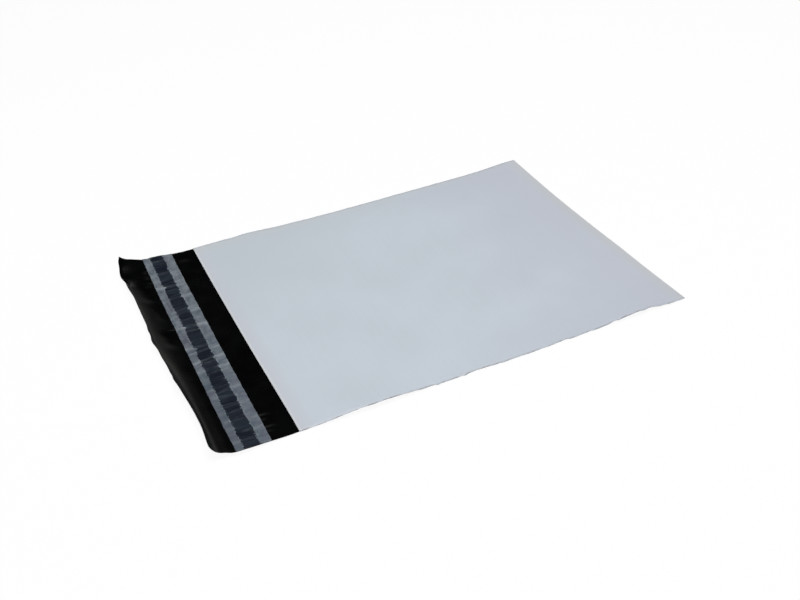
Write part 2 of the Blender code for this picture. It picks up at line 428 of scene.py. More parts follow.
# Fine texture: the usual range of a noise value, the stretching of the film's lines and their weight
# beside that of the clouds and the grain, heights of bumps in metres, roughness and shine
NOISE_RANGE = (0.3, 0.7)
LINE_RANGE = (0.25, 0.75)
DIE_LINE_SCALE = (0.7, 0.012, 1.0)
CLOUD_WEIGHT = 0.5
LINE_WEIGHT = 0.25
OUTSIDE_LINE_BUMP = 0.8
INSIDE_LINE_BUMP = 0.6
OUTSIDE_BUMP = 0.000025
INSIDE_BUMP = 0.00003
SEAM_BUMP = 0.00008
LINER_BUMP = 0.00003
GLUE_BUMP = 0.0001
OUTSIDE_ROUGHNESS = (0.38, 0.48)
INSIDE_ROUGHNESS = (0.23, 0.30)
EDGE_ROUGHNESS = 0.5
SEAM_ROUGHNESS = (0.22, 0.38)
LINER_ROUGHNESS = (0.28, 0.38)
GLUE_ROUGHNESS = (0.2, 0.35)
OUTSIDE_SPECULAR = 0.3
INSIDE_SPECULAR = 0.080
LINER_SPECULAR = 0.25

# Floor, lamp and the brightness of the surroundings by the sine of the height over the horizon
FLOOR_HALF_SIZE = 4.0
FLOOR_HEIGHT = -0.0003
FLOOR_COLOUR = (0.95, 0.95, 0.95)
FLOOR_ROUGHNESS = 0.9
FLOOR_WHITE_SHARE = 0.93
KEY_PLACE = Vector((0.00, -0.15, 1.80))
KEY_AIM = Vector((0.0, 0.0, 0.0))
KEY_SIZE = 1.2
KEY_POWER = 33.6
SKY_SHADES = (
    (0.00, (0.95, 0.95, 0.88)),
    (0.08, (0.80, 0.80, 0.74)),
    (0.20, (0.36, 0.36, 0.35)),
    (0.32, (0.13, 0.13, 0.13)),
    (0.48, (0.045, 0.045, 0.05)),
    (1.00, (0.045, 0.045, 0.05)),
)

# Camera: place, the point of the floor that it looks at, focal length and sensor in millimetres, roll
CAMERA_PLACE = Vector((MOUTH_X - 0.12577, -0.60624, 0.44229))
CAMERA_AIM = Vector((MOUTH_X + 0.11849, -0.02191, 0.0))
CAMERA_LENS = 46.39
CAMERA_SENSOR = 36.0
CAMERA_ROLL = math.radians(4.02)


def wave_field(seed, count, shortest, longest):
    """A repeatable random field of about -1 to 1, made of sine waves in all directions."""
    rng = np.random.default_rng(seed)
    directions = rng.uniform(0.0, np.pi, count)
    frequencies = 2 * np.pi / rng.uniform(shortest, longest, count)
    phases = rng.uniform(0.0, 2 * np.pi, count)

    def field(along, across):
        total = 0.0
        for direction, frequency, phase in zip(directions, frequencies, phases):
            ahead = along * np.cos(direction) + across * np.sin(direction)
            total = total + np.sin(frequency * ahead + phase)
        return total / np.sqrt(count)

    return field


# Random fields: seed, number of waves, shortest and longest wave in metres
front_waves = wave_field(11, 9, 0.030, 0.090)
edge_waves = wave_field(12, 14, 0.004, 0.030)
seam_waves = wave_field(13, 14, 0.0025, 0.015)
liner_waves = wave_field(14, 12, 0.006, 0.016)
liner_ripples = wave_field(16, 16, 0.0022, 0.0055)
liner_edge_waves = wave_field(15, 10, 0.005, 0.018)


def ramp(value, start, end):
    """Rise smoothly from 0 at start to 1 at end."""
    part = np.clip((value - start) / (end - start), 0.0, 1.0)
    return part * part * (3.0 - 2.0 * part)


def swell(value, centre, half_width):
    """One smooth bump of height 1 that is 0 past half_width from its centre."""
    return np.cos(np.pi / 2 * np.minimum(1.0, np.abs(value - centre) / half_width)) ** 2


def edge_lift(place, lifts):
    """Height of an edge at a place along it."""
    return sum(height * swell(place, centre, half) for centre, half, height in lifts)


def lift(along, across):
    """Height of the back panel over the floor: 0 in the middle, more where an edge has risen."""
    inward = np.clip((np.abs(across) - HALF_WIDTH + LIFT_REACH) / LIFT_REACH, 0.0, 1.0) ** 2
    from_fold = POUCH_LENGTH - along
    far = edge_lift(along, FAR_LIFTS_FROM_MOUTH) + edge_lift(from_fold, FAR_LIFTS_FROM_FOLD)
    near = edge_lift(along, NEAR_LIFTS_FROM_MOUTH) + edge_lift(from_fold, NEAR_LIFTS_FROM_FOLD)
    far_corner = FAR_FOLD_LIFT * swell(across, HALF_WIDTH, FAR_FOLD_LIFT_LENGTH)
    near_corner = NEAR_FOLD_LIFT * swell(across, -HALF_WIDTH, NEAR_FOLD_LIFT_LENGTH)
    side = np.where(across > 0, far, near)
    corner = np.where(across > 0, far_corner, near_corner)
    tip = FAR_TIP_LIFT * swell(along, -FLAP_LENGTH - FAR_TIP_OVERHANG, FAR_TIP_LENGTH)
    tip = tip * swell(across, HALF_WIDTH, FAR_TIP_LENGTH)
    side = side + np.where(across > 0, tip, 0.0)
    towards_fold = np.clip(1.0 - from_fold / FOLD_LIFT_REACH, 0.0, 1.0) ** 2
    return (SEAM_LIFT + side) * inward + corner * towards_fold


def stretched(along, across):
    """Places along the pouch, a hair longer at the uneven bottom fold."""
    centre, half_width, bulge = FOLD_BULGE
    reach = FOLD_STRETCH + bulge * swell(across, centre, half_width)
    return along + reach * ramp(along, FOLD_STRETCH_START, POUCH_LENGTH)


def near_share(across):
    """0 at the far side of the flap and 1 at the near one."""
    return ramp(HALF_WIDTH - across, CURL_CHANGE_START, CURL_CHANGE_START + CURL_CHANGE_LENGTH)


def curl_angle(across):
    """Angle of the flap's free edge, steep at the near corner and lower towards the far one."""
    share = near_share(across)
    angle = FAR_CURL + (NEAR_CURL - FAR_CURL) * share + NEAR_CURL_EXTRA * share ** 5
    angle = angle - FAR_DIP_ANGLE * swell(across, HALF_WIDTH - FAR_DIP_INSET, FAR_DIP_HALF_WIDTH)
    return angle - NEAR_DIP_ANGLE * swell(across, -HALF_WIDTH, NEAR_DIP_HALF_WIDTH)


def curl_turn(past, across):
    """How far the flap has turned up at a place past the liner.

    It turns evenly at the far side and in two steps at the near one.
    """
    full = curl_angle(across)
    even = full * past / CURL_LENGTH
    last_part = np.maximum(0.0, past - CURL_RISE_START) / (CURL_LENGTH - CURL_RISE_START)
    stepped = CURL_BASE * ramp(past, CURL_BASE_START, CURL_BASE_END) + (full - CURL_BASE) * last_part
    return even + (stepped - even) * near_share(across)


def flap_outline(along, across):
    """Move places on a straight-cut flap to its outline, kinked and with a rounded near corner."""
    past = np.clip((-along - CURL_START) / CURL_LENGTH, 0.0, 1.0)
    for place, half_width, reach in EDGE_KINKS:
        along = along - reach * past ** 3 * swell(across, place, half_width)
    towards_end = ramp(-along, FLAP_LENGTH - CORNER_RADIUS, FLAP_LENGTH)
    towards_side = ramp(-across, HALF_WIDTH - CORNER_RADIUS, HALF_WIDTH)
    return along, across + CORNER_CUT * towards_end * towards_side


def pressed(past, across):
    """How far the film past the liner is pressed back to the ground, before it turns up."""
    depth = 0.0
    for place, half_width, centre, half_length, lobe_depth in PRESSED_LOBES:
        inside = ramp(half_width - np.abs(across - place), 0.0, LOBE_EDGE)
        depth = depth + lobe_depth * swell(past, centre, half_length) * inside
    return depth


def film_relief(along, across):
    """Small oval puckers of the black film beside the liner and at the lifted corner."""
    total = np.zeros_like(along)
    for centre_along, centre_across, half_length, half_width, height in FLAP_PUCKERS:
        one = swell(along, centre_along / 1000, half_length / 1000)
        total = total + height / 1000 * one * swell(across, centre_across / 1000, half_width / 1000)
    return total


def front_relief(along, across):
    """Faint creases and waves of the front panel."""
    total = FRONT_WAVE_HEIGHT * front_waves(along, across)
    for start, end, half_width, height in FRONT_CREASES:
        start, end = np.array(start) / 1000, np.array(end) / 1000
        line = end - start
        length = np.hypot(*line)
        part = ((along - start[0]) * line[0] + (across - start[1]) * line[1]) / length ** 2
        aside = ((across - start[1]) * line[0] - (along - start[0]) * line[1]) / length
        total = total + height / 1000 * swell(part, 0.5, CREASE_FADE) * swell(aside, 0.0, half_width / 1000)
    total = total * ramp(HALF_WIDTH - np.abs(across), 0.0, FRONT_CALM_SIDE)
    return total * ramp(POUCH_LENGTH - along, 0.0, FRONT_CALM_FOLD)


def flap_points(along, across, height=0.0):
    """Points over the flap or the back panel, height being measured square to the film."""
    past = np.maximum(0.0, -CURL_START - along)
    turned = curl_turn(past, across)
    reach, rise = 0.0, 0.0
    for step in (np.arange(CURL_STEPS) + 0.5) / CURL_STEPS:
        angle = curl_turn(past * step, across)
        reach = reach + past * np.cos(angle) / CURL_STEPS
        rise = rise + past * np.sin(angle) / CURL_STEPS
    x = MOUTH_X + stretched(along, across) + past - reach
    z = lift(along, across) + np.maximum(rise - pressed(past, across), np.minimum(rise, PRESSED_GAP))
    height = height + film_relief(along, across)
    lip = np.clip((past - CURL_LENGTH + LIP_LENGTH) / LIP_LENGTH, 0.0, LIP_OVERRUN) ** 2
    height = height + LIP_HEIGHT * lip * ramp(across, -LIP_FADE, LIP_FADE)
    return np.stack([x + height * np.sin(turned), across, z + height * np.cos(turned)], axis=-1)


def front_points(along, across):
    """Points on the outer face of the front panel."""
    pillow = PILLOW_HEIGHT * ramp(HALF_WIDTH - np.abs(across), 0.0, PILLOW_REACH)
    pillow = pillow * ramp(POUCH_LENGTH - along, 0.0, PILLOW_REACH)
    z = lift(along, across) + 2 * FOLD_RADIUS + pillow + front_relief(along, across)
    mouth = MOUTH_NEAR + (MOUTH_FAR - MOUTH_NEAR) * ramp(across, -HALF_WIDTH, MOUTH_SHIFT_END)
    mouth = mouth * ramp(MOUTH_SHIFT_LENGTH - along, 0.0, MOUTH_SHIFT_LENGTH)
    return np.stack([MOUTH_X + stretched(along, across) + mouth, across, z], axis=-1)


def fold_points(angle, across):
    """Points on the outer face of the bottom fold, from the back panel round to the front."""
    x = MOUTH_X + stretched(FOLD_CENTRE, across) + FOLD_RADIUS * np.sin(angle)
    z = lift(np.full_like(across, FOLD_CENTRE), across) + FOLD_RADIUS * (1.0 - np.cos(angle))
    return np.stack([x, across, z], axis=-1)


def grid_faces(rows, columns, first=0):
    """Four-sided faces of a grid of points, whose first point has the number first."""
    index = first + np.arange(rows * columns).reshape(rows, columns)
    faces = np.stack([index[:-1, :-1], index[1:, :-1], index[1:, 1:], index[:-1, 1:]], axis=-1)
    return faces.reshape(-1, 4).tolist()


def new_mesh(name, points, faces, **fields):
    """A smooth mesh with named numbers or vectors stored on its points."""
    mesh = bpy.data.meshes.new(name)
    mesh.from_pydata(points.reshape(-1, 3).tolist(), [], faces)
    for field, values in fields.items():
        if values.ndim == 2:
            mesh.attributes.new(field, "FLOAT_VECTOR", "POINT").data.foreach_set("vector", values.ravel())
        else:
            mesh.attributes.new(field, "FLOAT", "POINT").data.foreach_set("value", values)
    mesh.shade_smooth()
    return mesh


def add_piece(name, mesh, materials, slot, *nodes):
    """Put a mesh in the scene as a piece that rides on the bag's body and stands for CAD nodes."""
    piece = bpy.data.objects.new(name, mesh)
    bpy.context.scene.collection.objects.link(piece)
    for material in materials:
        mesh.materials.append(material)
    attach(piece, BODY)
    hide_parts(*nodes)
    return piece


def add_thickness(piece, thickness, back=0, rim=0):
    """Thicken a skin to the side that its faces look to.

    Material slots: 0 on that side, back on the face that stays in its place, rim on the cut edge.
    """
    solidify = piece.modifiers.new("thickness", "SOLIDIFY")
    solidify.thickness = thickness
    solidify.offset = 1.0
    solidify.material_offset = back
    solidify.material_offset_rim = rim


def web_vectors(distance, across):
    """Places on the unfolded web: distance from the line under the mouth, place across, zero."""
    return np.stack([distance, across, np.zeros_like(across)], axis=-1).reshape(-1, 3)


class Nodes:
    """A material's node tree, with short ways to add nodes and links."""

    def __init__(self, name):
        self.material = bpy.data.materials.new(name)
        self.material.use_nodes = True
        self.tree = self.material.node_tree
        self.shader = self.tree.nodes["Principled BSDF"]

    def add(self, kind, settings=None, **inputs):
        node = self.tree.nodes.new(kind)
        for key, value in (settings or {}).items():
            setattr(node, key, value)
        for key, value in inputs.items():
            self.put(node, key, value)
        return node

    def put(self, node, socket, value):
        target = node.inputs[int(socket)] if socket.isdigit() else node.inputs[socket]
        if isinstance(value, bpy.types.NodeSocket):
            self.tree.links.new(value, target)
        else:
            target.default_value = value

    def math(self, operation, first, second=0.0, third=0.0):
        node = self.add("ShaderNodeMath", {"operation": operation})
        for socket, value in zip("012", (first, second, third)):
            self.put(node, socket, value)
        return node.outputs[0]

    def span(self, value, low, high, to_low=0.0, to_high=1.0, smooth=True):
        """Carry a value between low and high over to between to_low and to_high, and hold it there."""
        kind = {"interpolation_type": "SMOOTHSTEP" if smooth else "LINEAR"}
        node = self.add("ShaderNodeMapRange", kind)
        for socket, number in zip("01234", (value, low, high, to_low, to_high)):
            self.put(node, socket, number)
        return node.outputs[0]

    def attribute(self, name):
        """Outputs of a node that reads what a mesh stores on its points."""
        return self.add("ShaderNodeAttribute", {"attribute_name": name}).outputs

    def place(self, scale=(1.0, 1.0, 1.0), turn=0.0):
        """Places on the unfolded web in millimetres, scaled and turned."""
        mapping = self.add("ShaderNodeMapping", {"vector_type": "POINT"})
        self.put(mapping, "Vector", self.attribute("web")["Vector"])
        self.put(mapping, "Scale", tuple(1000 * part for part in scale))
        self.put(mapping, "Rotation", (0.0, 0.0, turn))
        return mapping.outputs[0]

    def noise(self, vector, scale, detail=2.0, roughness=0.5):
        settings = {"Vector": vector, "Scale": scale, "Detail": detail, "Roughness": roughness}
        return self.add("ShaderNodeTexNoise", **settings).outputs["Fac"]

    def mix(self, factor, first, second):
        node = self.add("ShaderNodeMix", {"data_type": "RGBA"})
        self.put(node, "Factor", factor)
        for socket, value in ((6, first), (7, second)):
            if isinstance(value, tuple):
                value = (*value, 1.0)
            self.put(node, str(socket), value)
        return node.outputs[2]

    def split(self, vector):
        return self.add("ShaderNodeSeparateXYZ", Vector=vector).outputs

    def bump(self, height, distance):
        node = self.add("ShaderNodeBump", Height=height, Distance=distance)
        self.tree.links.new(node.outputs[0], self.shader.inputs["Normal"])

    def finish(self, colour, roughness, specular=0.5):
        """Set the surface's colour, roughness and shine, and hand over the material."""
        self.put(self.shader, "Base Color", (*colour, 1.0) if isinstance(colour, tuple) else colour)
        self.put(self.shader, "Roughness", roughness)
        self.shader.inputs["Specular IOR Level"].default_value = specular
        return self.material


def die_lines(n):
    """Fine lines from side to side, the way in which the film was drawn."""
    return n.noise(n.place(DIE_LINE_SCALE), scale=1.0, detail=3.0)


def film_outside():
    """The blue-grey outside of the film: cloudy, lilac at the fold, with painted shade towards the mouth on
    the far half and a painted highlight along the mouth's edge.
    """
    n = Nodes("film_outside")
    clouds = n.noise(n.place(), scale=0.022, detail=3.0)
    lines = die_lines(n)
    grain = n.noise(n.place(), scale=0.9, detail=3.0, roughness=0.6)
    cloudy = n.span(clouds, *NOISE_RANGE, -CLOUD_WEIGHT, CLOUD_WEIGHT)
    shade = n.math("ADD", cloudy, n.span(lines, *LINE_RANGE, -LINE_WEIGHT, LINE_WEIGHT))
    most = CLOUD_WEIGHT + LINE_WEIGHT
    colour = n.mix(n.span(shade, -most, most, smooth=False), OUTSIDE_DARK, OUTSIDE_LIGHT)
    distance, across, _ = n.split(n.place())
    from_fold = n.math("ABSOLUTE", n.math("SUBTRACT", distance, 1000 * POUCH_LENGTH))
    # Painted shade: the front panel darkens towards the mouth, more so on its far half
    towards_far_side = n.span(across, *PAINTED_SHADE_ACROSS, *PAINTED_SHADE_SHARES)
    painted_shade = n.math("MULTIPLY", n.span(distance, *PAINTED_SHADE_DISTANCE), towards_far_side)
    colour = n.mix(painted_shade, colour, OUTSIDE_PAINTED_SHADE)
    uneven_fold = n.math("MULTIPLY_ADD", n.noise(n.place(), scale=0.012), LILAC_UNEVENNESS, from_fold)
    colour = n.mix(n.span(uneven_fold, *LILAC_FROM_FOLD), colour, OUTSIDE_LILAC)
    colour = n.mix(n.span(distance, *MOUTH_FILM_DISTANCE, to_high=MOUTH_FILM_SHARE), colour, MOUTH_FILM)
    # Painted highlight along the mouth's ragged edge
    rough_edge = n.math("ADD", n.noise(n.place(), scale=0.5), distance)
    colour = n.mix(n.span(rough_edge, *MOUTH_HIGHLIGHT_BAND), colour, MOUTH_HIGHLIGHT)
    side_rim = n.span(across, *SIDE_RIM, to_high=SIDE_RIM_SHARE)
    rim = n.math("MAXIMUM", n.span(from_fold, *FOLD_RIM), side_rim)
    colour = n.mix(n.math("MULTIPLY", rim, OUTSIDE_RIM_SHARE), colour, OUTSIDE_RIM)
    near_side = n.span(across, *NEAR_BACK_ACROSS, to_high=NEAR_BACK_SHARE)
    near_back = n.math("MULTIPLY", near_side, n.span(distance, *NEAR_BACK_DISTANCE))
    colour = n.mix(near_back, colour, SEAM_COLOUR)
    side_noise = n.noise(n.place(), scale=0.35)
    uneven_side = n.math("MULTIPLY_ADD", side_noise, SEALED_UNEVENNESS, n.math("ABSOLUTE", across))
    sealed = n.math("MULTIPLY", n.span(uneven_side, *SEALED_ACROSS), SEALED_SHARE)
    colour = n.mix(sealed, colour, SEAM_COLOUR)
    n.bump(n.math("MULTIPLY_ADD", lines, OUTSIDE_LINE_BUMP, grain), OUTSIDE_BUMP)
    return n.finish(colour, n.span(grain, *NOISE_RANGE, *OUTSIDE_ROUGHNESS), OUTSIDE_SPECULAR)


def film_inside():
    """The black inside of the film, glossier than the outside."""
    n = Nodes("film_inside")
    clouds = n.noise(n.place(), scale=0.05, detail=3.0)
    grain = n.noise(n.place(), scale=0.7, detail=3.0, roughness=0.6)
    colour = n.mix(n.span(clouds, *NOISE_RANGE), INSIDE_DARK, INSIDE_LIGHT)
    n.bump(n.math("MULTIPLY_ADD", die_lines(n), INSIDE_LINE_BUMP, grain), INSIDE_BUMP)
    return n.finish(colour, n.span(clouds, *NOISE_RANGE, *INSIDE_ROUGHNESS), INSIDE_SPECULAR)


def film_edge():
    """The cut edge of the film, which shows as a pale line."""
    n = Nodes("film_edge")
    grain = n.noise(n.place(), scale=1.5)
    return n.finish(n.mix(grain, EDGE_DARK, EDGE_LIGHT), EDGE_ROUGHNESS)


def seam_film():
    """The melted and cut seam: a darker, glossier bead with paler stretches."""
    n = Nodes("seam_film")
    stretches = n.noise(n.place(), scale=0.13, detail=3.0, roughness=0.6)
    beads = n.noise(n.place(), scale=0.8)
    fade = n.span(n.math("MULTIPLY_ADD", beads, 0.35, stretches), 0.55, 0.78)
    across = n.split(n.place())["Y"]
    fade = n.math("MAXIMUM", fade, n.span(across, *SEAM_PALING, to_high=SEAM_PALE_SHARE))
    n.bump(beads, SEAM_BUMP)
    return n.finish(n.mix(fade, SEAM_DARK, SEAM_LIGHT), n.span(beads, *NOISE_RANGE, *SEAM_ROUGHNESS))


def dry_colour(n, haze, glint):
    """The liner over air: hazy blue and lilac, paler and more streaked towards the far side."""
    tint = n.noise(n.place((1.0, 0.5, 1.0)), scale=0.06)
    colour = n.mix(n.span(tint, 0.42, 0.68), LINER_BLUE, LINER_LILAC)
    distance, across, _ = n.split(n.place())
    colour = n.mix(n.span(across, *LINER_PALING, to_high=LINER_PALE_SHARE), colour, LINER_PALE)
    colour = n.mix(n.span(haze, 0.38, 0.66, to_high=0.8), colour, LINER_PALE)
    flap_side = n.span(distance, FLAP_SIDE_START, FLAP_SIDE_END)
    deeper = n.span(across, *LINER_DEEPENING, *LINER_DEEP_SHARES, smooth=False)
    colour = n.mix(n.math("MULTIPLY", flap_side, deeper), colour, LINER_DEEP)
    streaks = n.noise(n.place((0.6, 0.22, 1.0), turn=-0.35), scale=0.45)
    streaky = n.span(across, *LINER_STREAKING, *LINER_STREAK_SHARES)
    colour = n.mix(n.math("MULTIPLY", streaky, n.span(streaks, 0.50, 0.34)), colour, LINER_DEEP)
    colour = n.mix(n.math("MULTIPLY", streaky, n.span(streaks, 0.50, 0.66)), colour, LINER_WHITE)
    return n.mix(n.span(glint, 0.05, 1.0, smooth=False), colour, LINER_WHITE)


def wet_colour(n, glint):
    """The liner where it is stuck to the glue: dark, with paler patches and long threads."""
    patches = n.noise(n.place((0.14, 1.0, 1.0), turn=0.16), scale=0.12, detail=5.0, roughness=0.60)
    colour = n.mix(n.span(patches, 0.40, 0.60), WET_DARK, WET_LIGHT)
    threads = n.noise(n.place((0.08, 1.0, 1.0), turn=0.20), scale=0.60, detail=3.0, roughness=0.6)
    colour = n.mix(n.span(threads, 0.52, 0.70, to_high=0.6), colour, WET_LIFTED)
    return n.mix(n.span(glint, 0.10, 1.0, to_high=0.75, smooth=False), colour, WET_LIFTED)


def liner_film():
    """The release liner: pale over air, dark where it is stuck to the glue below."""
    n = Nodes("liner_film")
    haze = n.noise(n.place((0.5, 1.0, 1.0), turn=0.12), scale=0.14, detail=6.0, roughness=0.68)
    glint = n.math("MULTIPLY", n.attribute("raised")["Fac"], n.span(haze, 0.30, 0.62))
    inside = n.attribute("wet")["Fac"]
    jags = n.noise(n.place((0.3, 1.0, 1.0)), scale=0.45, detail=4.0, roughness=0.6)
    ragged = n.math("MULTIPLY_ADD", n.math("SUBTRACT", jags, 0.5), WET_RAGGEDNESS, inside)
    stuck = n.span(ragged, *WET_BLUR)
    colour = n.mix(stuck, dry_colour(n, haze, glint), wet_colour(n, glint))
    by_line = n.span(n.math("ABSOLUTE", inside), *SPECK_REACH)
    specks = n.math("MULTIPLY", by_line, n.span(n.noise(n.place(), scale=0.7, detail=1.0), 0.56, 0.66))
    colour = n.mix(n.math("MULTIPLY", specks, SPECK_SHARE), colour, LINER_SPECK)
    fibre = n.noise(n.place((0.5, 1.0, 1.0)), scale=0.5, detail=3.0)
    n.bump(fibre, LINER_BUMP)
    return n.finish(colour, n.span(fibre, *NOISE_RANGE, *LINER_ROUGHNESS), LINER_SPECULAR)


def glue_melt():
    """The hot-melt glue under the liner, dark and lumpy."""
    n = Nodes("glue_melt")
    lumps = n.noise(n.place((0.5, 1.0, 1.0)), scale=0.4, detail=3.0)
    n.bump(lumps, GLUE_BUMP)
    return n.finish(n.mix(lumps, GLUE_DARK, GLUE_LIGHT), n.span(lumps, *NOISE_RANGE, *GLUE_ROUGHNESS))


def columns_across(count):
    """Places across the bag, closer together towards the two sides."""
    part = np.linspace(-1.0, 1.0, count + 1)
    return HALF_WIDTH * (EVEN_SHARE * part + CROWDED_SHARE * np.sin(np.pi / 2 * part))


def edge_nicks(along, across):
    """Places across after small sideways steps of the cut edges, which fade out inwards."""
    at_edge = ramp(np.abs(across), HALF_WIDTH - EDGE_ZONE, HALF_WIDTH)
    wander = EDGE_WANDER * edge_waves(along, np.sign(across) * EDGE_WAVE_OFFSET)
    inset = np.maximum(0.0, EDGE_INSET + wander)
    for place, half_width, depth in NEAR_NICKS:
        inset = inset + np.where(across < 0, depth, 0.0) * swell(along, place, half_width)
    for end, length, depth in NEAR_STEPS:
        slant = np.clip((along - end + length) / length, 0.0, 1.0)
        slant = slant * (1.0 - ramp(along, end, end + STEP_END))
        inset = inset + np.where(across < 0, depth, 0.0) * slant
    near_teeth = edge_teeth(along, NEAR_TOOTH_SEED, NEAR_TOOTH_DEPTH)
    far_teeth = edge_teeth(along, FAR_TOOTH_SEED, FAR_TOOTH_DEPTH)
    far_corner = FAR_CORNER_CUT * np.clip(1.0 - (POUCH_LENGTH - along) / FAR_CORNER_LENGTH, 0.0, 1.0)
    inset = inset + np.where(across < 0, near_teeth, far_teeth + far_corner)
    return across - np.sign(across) * at_edge * inset


def edge_teeth(along, seed, depth_limit):
    """Slanting steps of a torn-off edge: each one grows slowly and ends at once."""
    rng = np.random.default_rng(seed)
    inset = 0.0
    place = FIRST_TOOTH
    while place < POUCH_LENGTH:
        length = rng.uniform(*TOOTH_LENGTHS)
        part = (along - place) / length
        grown = depth_limit * rng.uniform() * np.clip(part, 0.0, 1.0)
        inset = inset + grown * (1.0 - ramp(part, TOOTH_DROP, 1.0))
        place += length
    return inset


def flap_mesh():
    """Points and web places of the flap, up to the line under the mouth."""
    curl = np.linspace(-FLAP_LENGTH, -CURL_START, CURL_ROWS)
    flat = np.linspace(-CURL_START, 0.0, FLAT_ROWS)[1:]
    rows = np.concatenate([curl, flat])
    along, across = np.meshgrid(rows, columns_across(FLAP_COLUMNS), indexing="ij")
    points = flap_points(*flap_outline(along, edge_nicks(along, across)))
    return points, web_vectors(along, across)


def pouch_mesh():
    """Points and web places from the line under the mouth round the fold to the mouth itself."""
    columns = columns_across(FLAP_COLUMNS)[::FLAP_COLUMNS_PER_COARSE]
    back = np.linspace(0.0, FOLD_CENTRE, BACK_ROWS + 1)[1:]
    along, across = np.meshgrid(back, columns, indexing="ij")
    at_side = np.sign(across) * (np.abs(across) == HALF_WIDTH)
    grids = [flap_points(along, edge_nicks(along, across) - BACK_INSET * at_side)]
    webs = [web_vectors(along, across)]

    angles = np.linspace(0.0, np.pi, FOLD_ROWS)[1:-1]
    angle, across = np.meshgrid(angles, columns, indexing="ij")
    grids.append(fold_points(angle, edge_nicks(np.full_like(across, FOLD_CENTRE), across)))
    webs.append(web_vectors(np.full_like(across, POUCH_LENGTH), across))

    front = np.linspace(FOLD_CENTRE, 0.0, FRONT_ROWS)
    along, across = np.meshgrid(front, columns, indexing="ij")
    grids.append(front_points(along, edge_nicks(along, across)))
    webs.append(web_vectors(2 * POUCH_LENGTH - along, across))
    return np.concatenate(grids), np.concatenate(webs)


def make_bag():
    """The whole web of film as one mesh, the finer flap joined to the coarser pouch."""
    flap_grid, flap_web = flap_mesh()
    pouch_grid, pouch_web = pouch_mesh()
    rows, columns = flap_grid.shape[:2]
    faces = grid_faces(rows, columns)
    first = rows * columns
    faces += grid_faces(*pouch_grid.shape[:2], first)
    last_row = (rows - 1) * columns
    for number in range(pouch_grid.shape[1] - 1):
        start = last_row + FLAP_COLUMNS_PER_COARSE * number
        left, second, third, right = range(start, start + 4)
        below = first + number
        faces += [(left, below, second), (second, below, below + 1)]
        faces += [(second, below + 1, third), (third, below + 1, right)]
    points = np.concatenate([flap_grid.reshape(-1, 3), pouch_grid.reshape(-1, 3)])
    mesh = new_mesh("mailer_film", points, faces, web=np.concatenate([flap_web, pouch_web]))
    materials = [film_inside(), film_outside(), film_edge()]
    bag = add_piece("mailer_film", mesh, materials, "film", "film_bag")
    add_thickness(bag, FILM_THICKNESS, back=1, rim=2)


def make_seam(name, side):
    """A thin uneven bead round the two cut and melted edges on one side of the pouch."""
    along = np.linspace(0.0, FOLD_CENTRE, FRONT_ROWS)
    across = np.full_like(along, side * HALF_WIDTH)
    back = flap_points(along, edge_nicks(along, across))
    top = front_points(along, edge_nicks(along, across))
    middle = (back + top) / 2
    middle[:, 1] -= side * SEAM_INSET
    radius = SEAM_RADIUS * (1.0 + SEAM_UNEVENNESS * seam_waves(along, across))
    radius = np.minimum(radius * ramp(along, SEAM_TIP_START, SEAM_TIP_END), middle[:, 2])
    turn = np.linspace(0.0, 2 * np.pi, SEAM_SIDES, endpoint=False)
    ring = np.stack([np.zeros_like(turn), np.cos(turn) * side, np.sin(turn)], axis=-1)
    points = middle[:, None, :] + radius[:, None, None] * ring
    count, sides = points.shape[:2]
    faces = []
    for row in range(count - 1):
        lower, upper = row * sides, (row + 1) * sides
        for step in range(sides):
            after = (step + 1) % sides
            faces.append((lower + step, lower + after, upper + after, upper + step))
    faces += [tuple(range(sides))[::-1], tuple((count - 1) * sides + step for step in range(sides))]
    round_bead = np.tile(ring[:, 2], count) * SEAM_WEB_WIDTH
    web = web_vectors(np.repeat(along, sides), np.repeat(across, sides) + round_bead)
    mesh = new_mesh(name, points, faces, web=web)
    add_piece(name, mesh, [seam_film()], "film", "film_bag")


def wrinkles():
    """All wrinkles across the liner: place and half width in metres, skew and the three strengths."""
    rng = np.random.default_rng(WRINKLE_SEED)
    found = [tuple(part / 1000 for part in row[:2]) + row[2:] for row in MAIN_WRINKLES]
    place = -HALF_WIDTH
    while place < HALF_WIDTH:
        place += rng.uniform(*WRINKLE_SPACING)
        half_width = rng.uniform(*WRINKLE_HALF_WIDTHS)
        skew = rng.normal(0.0, WRINKLE_SKEW)
        strengths = rng.uniform(0.0, WRINKLE_STRENGTH, 3) * rng.choice(WRINKLE_SHARES, 3)
        if place < CALM_START:
            strengths *= (CALM_SHARE, 1.0, CALM_SHARE)
        found.append((place, half_width, skew, *strengths))
    return found


def wrinkle_strength(along, across, widen=1.0):
    """How strongly the liner is raised at each place by the wrinkles that cross it."""
    total = np.zeros_like(along)
    middle = LINER_START + LINER_WIDTH / 2
    zones = [-LINER_START - LINER_WIDTH, -GLUE_START - GLUE_WIDTH, -GLUE_CENTRE, -GLUE_START, -LINER_START]
    for place, half_width, skew, flap_side, glue, mouth_side in wrinkles():
        line = place + skew * (along + middle)
        flap_edge, mouth_edge = (flap_side + glue) / 2, (mouth_side + glue) / 2
        strength = np.interp(along, zones, [flap_side, flap_edge, glue, mouth_edge, mouth_side])
        total = total + strength * swell(across, line, half_width * widen)
    return total


